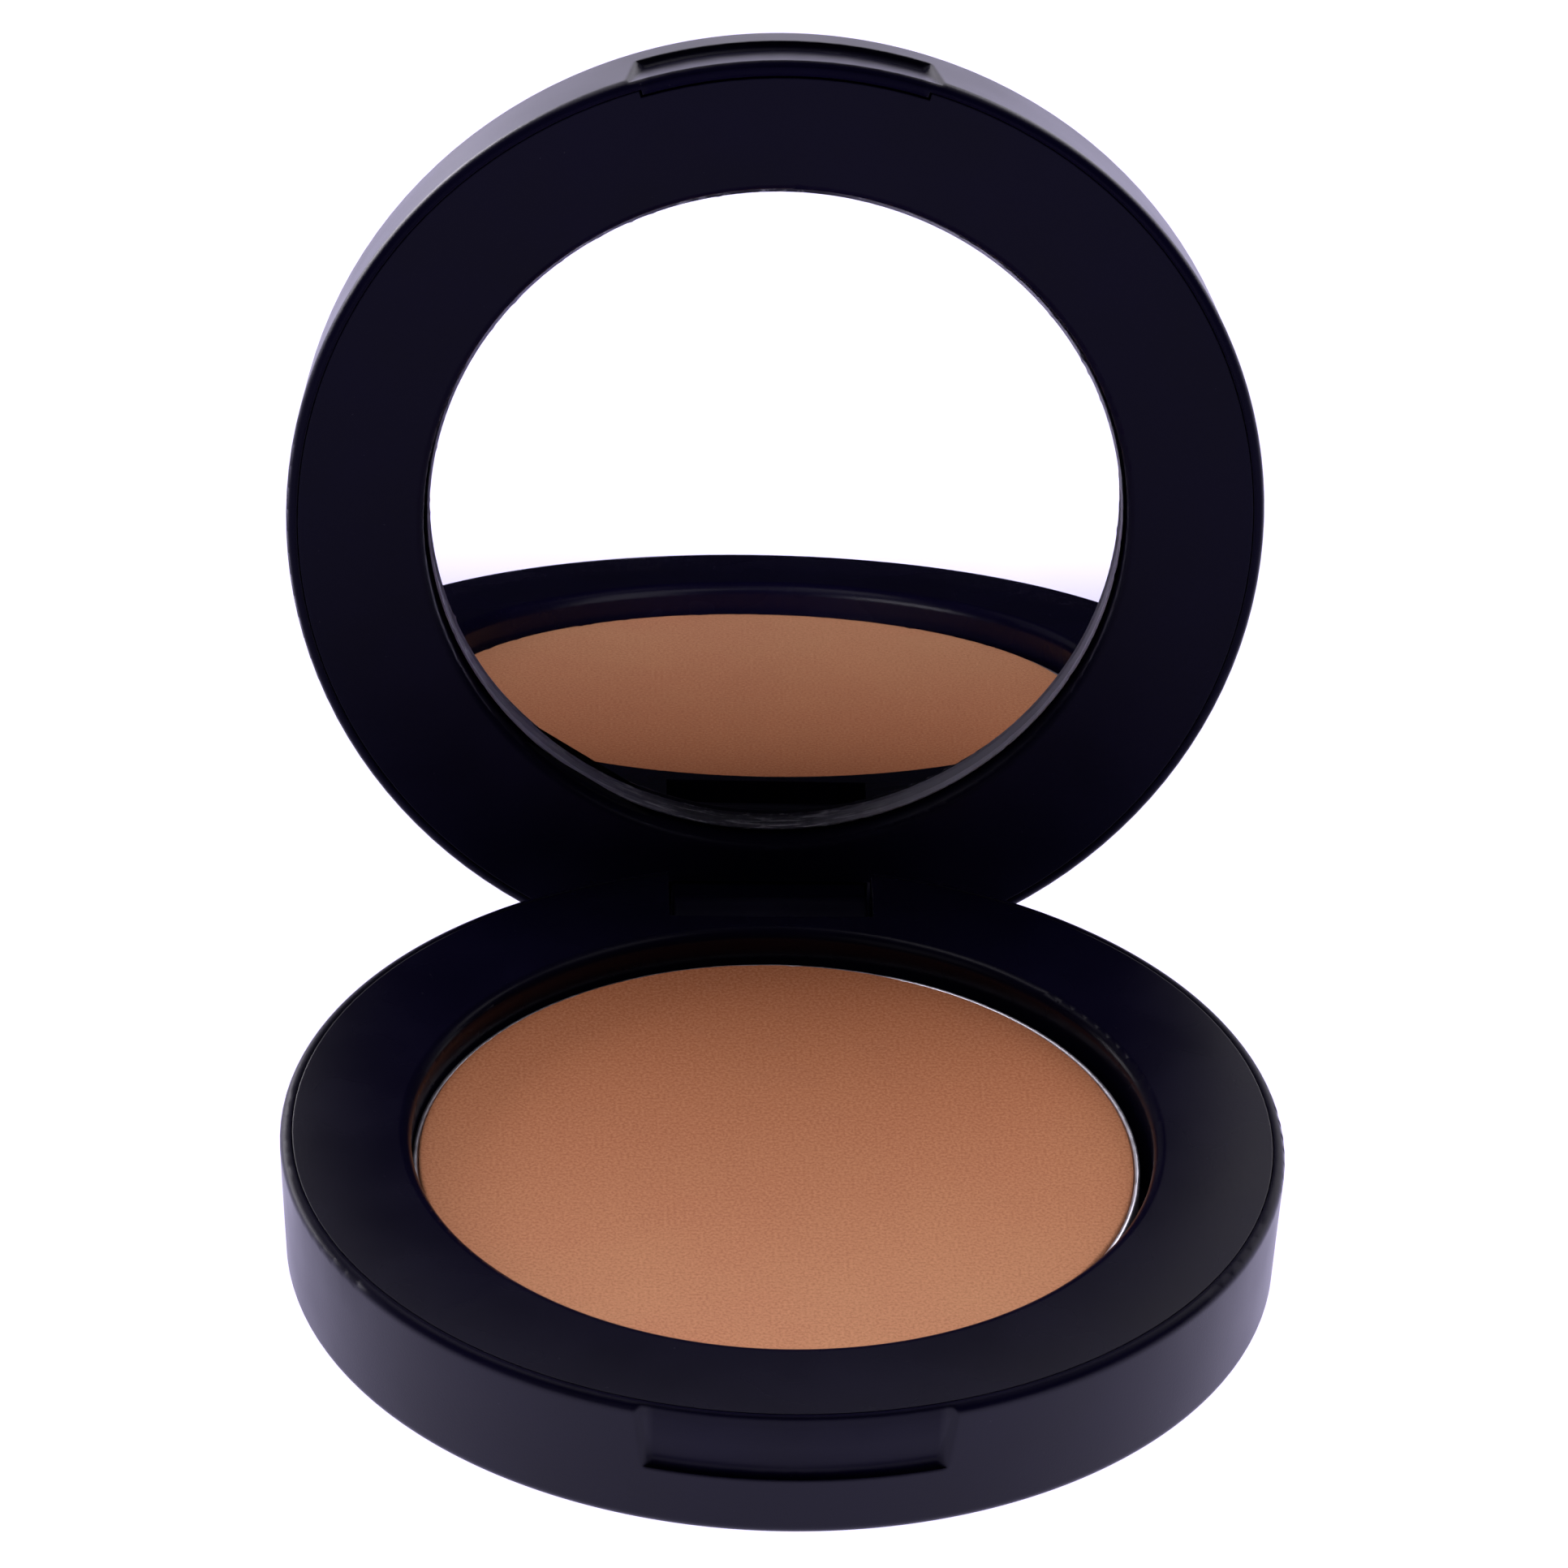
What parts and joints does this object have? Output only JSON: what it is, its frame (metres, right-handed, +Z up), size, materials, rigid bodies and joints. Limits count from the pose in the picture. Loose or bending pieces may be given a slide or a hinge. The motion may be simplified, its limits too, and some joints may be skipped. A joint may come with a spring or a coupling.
{
  "type": "powder compact",
  "caption": "Round black powder compact: a shallow base with a pan of pressed powder, and a hinged lid with a round mirror that folds over it and is held shut by magnets.",
  "frame": {"origin": "centre of the base's underside, on the surface it stands on", "axes": "+Z up; the hinge is at the rear, towards +Y, and the thumb recess at the front, towards -Y; +X is to the right seen from the front"},
  "size_m": [0.0504, 0.0633, 0.05],
  "materials": {
    "shell_black": "satin moulded black plastic with a very fine texture",
    "inner_black": "satin moulded black plastic, slightly smoother than the shells",
    "pan_metal": "bright pressed sheet",
    "powder": "pressed cosmetic powder, matte warm tan with fine grain",
    "adhesive": "translucent glue pad",
    "foam_tape": "white double-sided foam tape",
    "pin_steel": "drawn steel wire",
    "magnet": "nickel-plated magnet",
    "label_paper": "blank satin label",
    "glass": "clear float glass with a ground edge",
    "silvering": "silvered film seen through the glass"
  },
  "bodies": {
    "base": {"base_shell": "shell_black", "inner_tray": "inner_black", "powder_pan": "pan_metal", "pressed_powder": "powder", "pan_adhesive": "adhesive", "hinge_pin": "pin_steel", "base_magnet": "magnet", "underside_label": "label_paper"},
    "lid": {"lid_shell": "shell_black", "mirror_frame": "inner_black", "mirror_glass": "glass", "mirror_backing": "silvering", "mirror_adhesive": "foam_tape", "lid_magnet": "magnet"}
  },
  "joints": [
    {"name": "lid_hinge", "type": "hinge", "parent": "base", "child": "lid", "pos_m": [0, 0.02224, 0.00384], "axis": [1, 0, 0], "range_deg": [0, 98.8]}
  ]
}
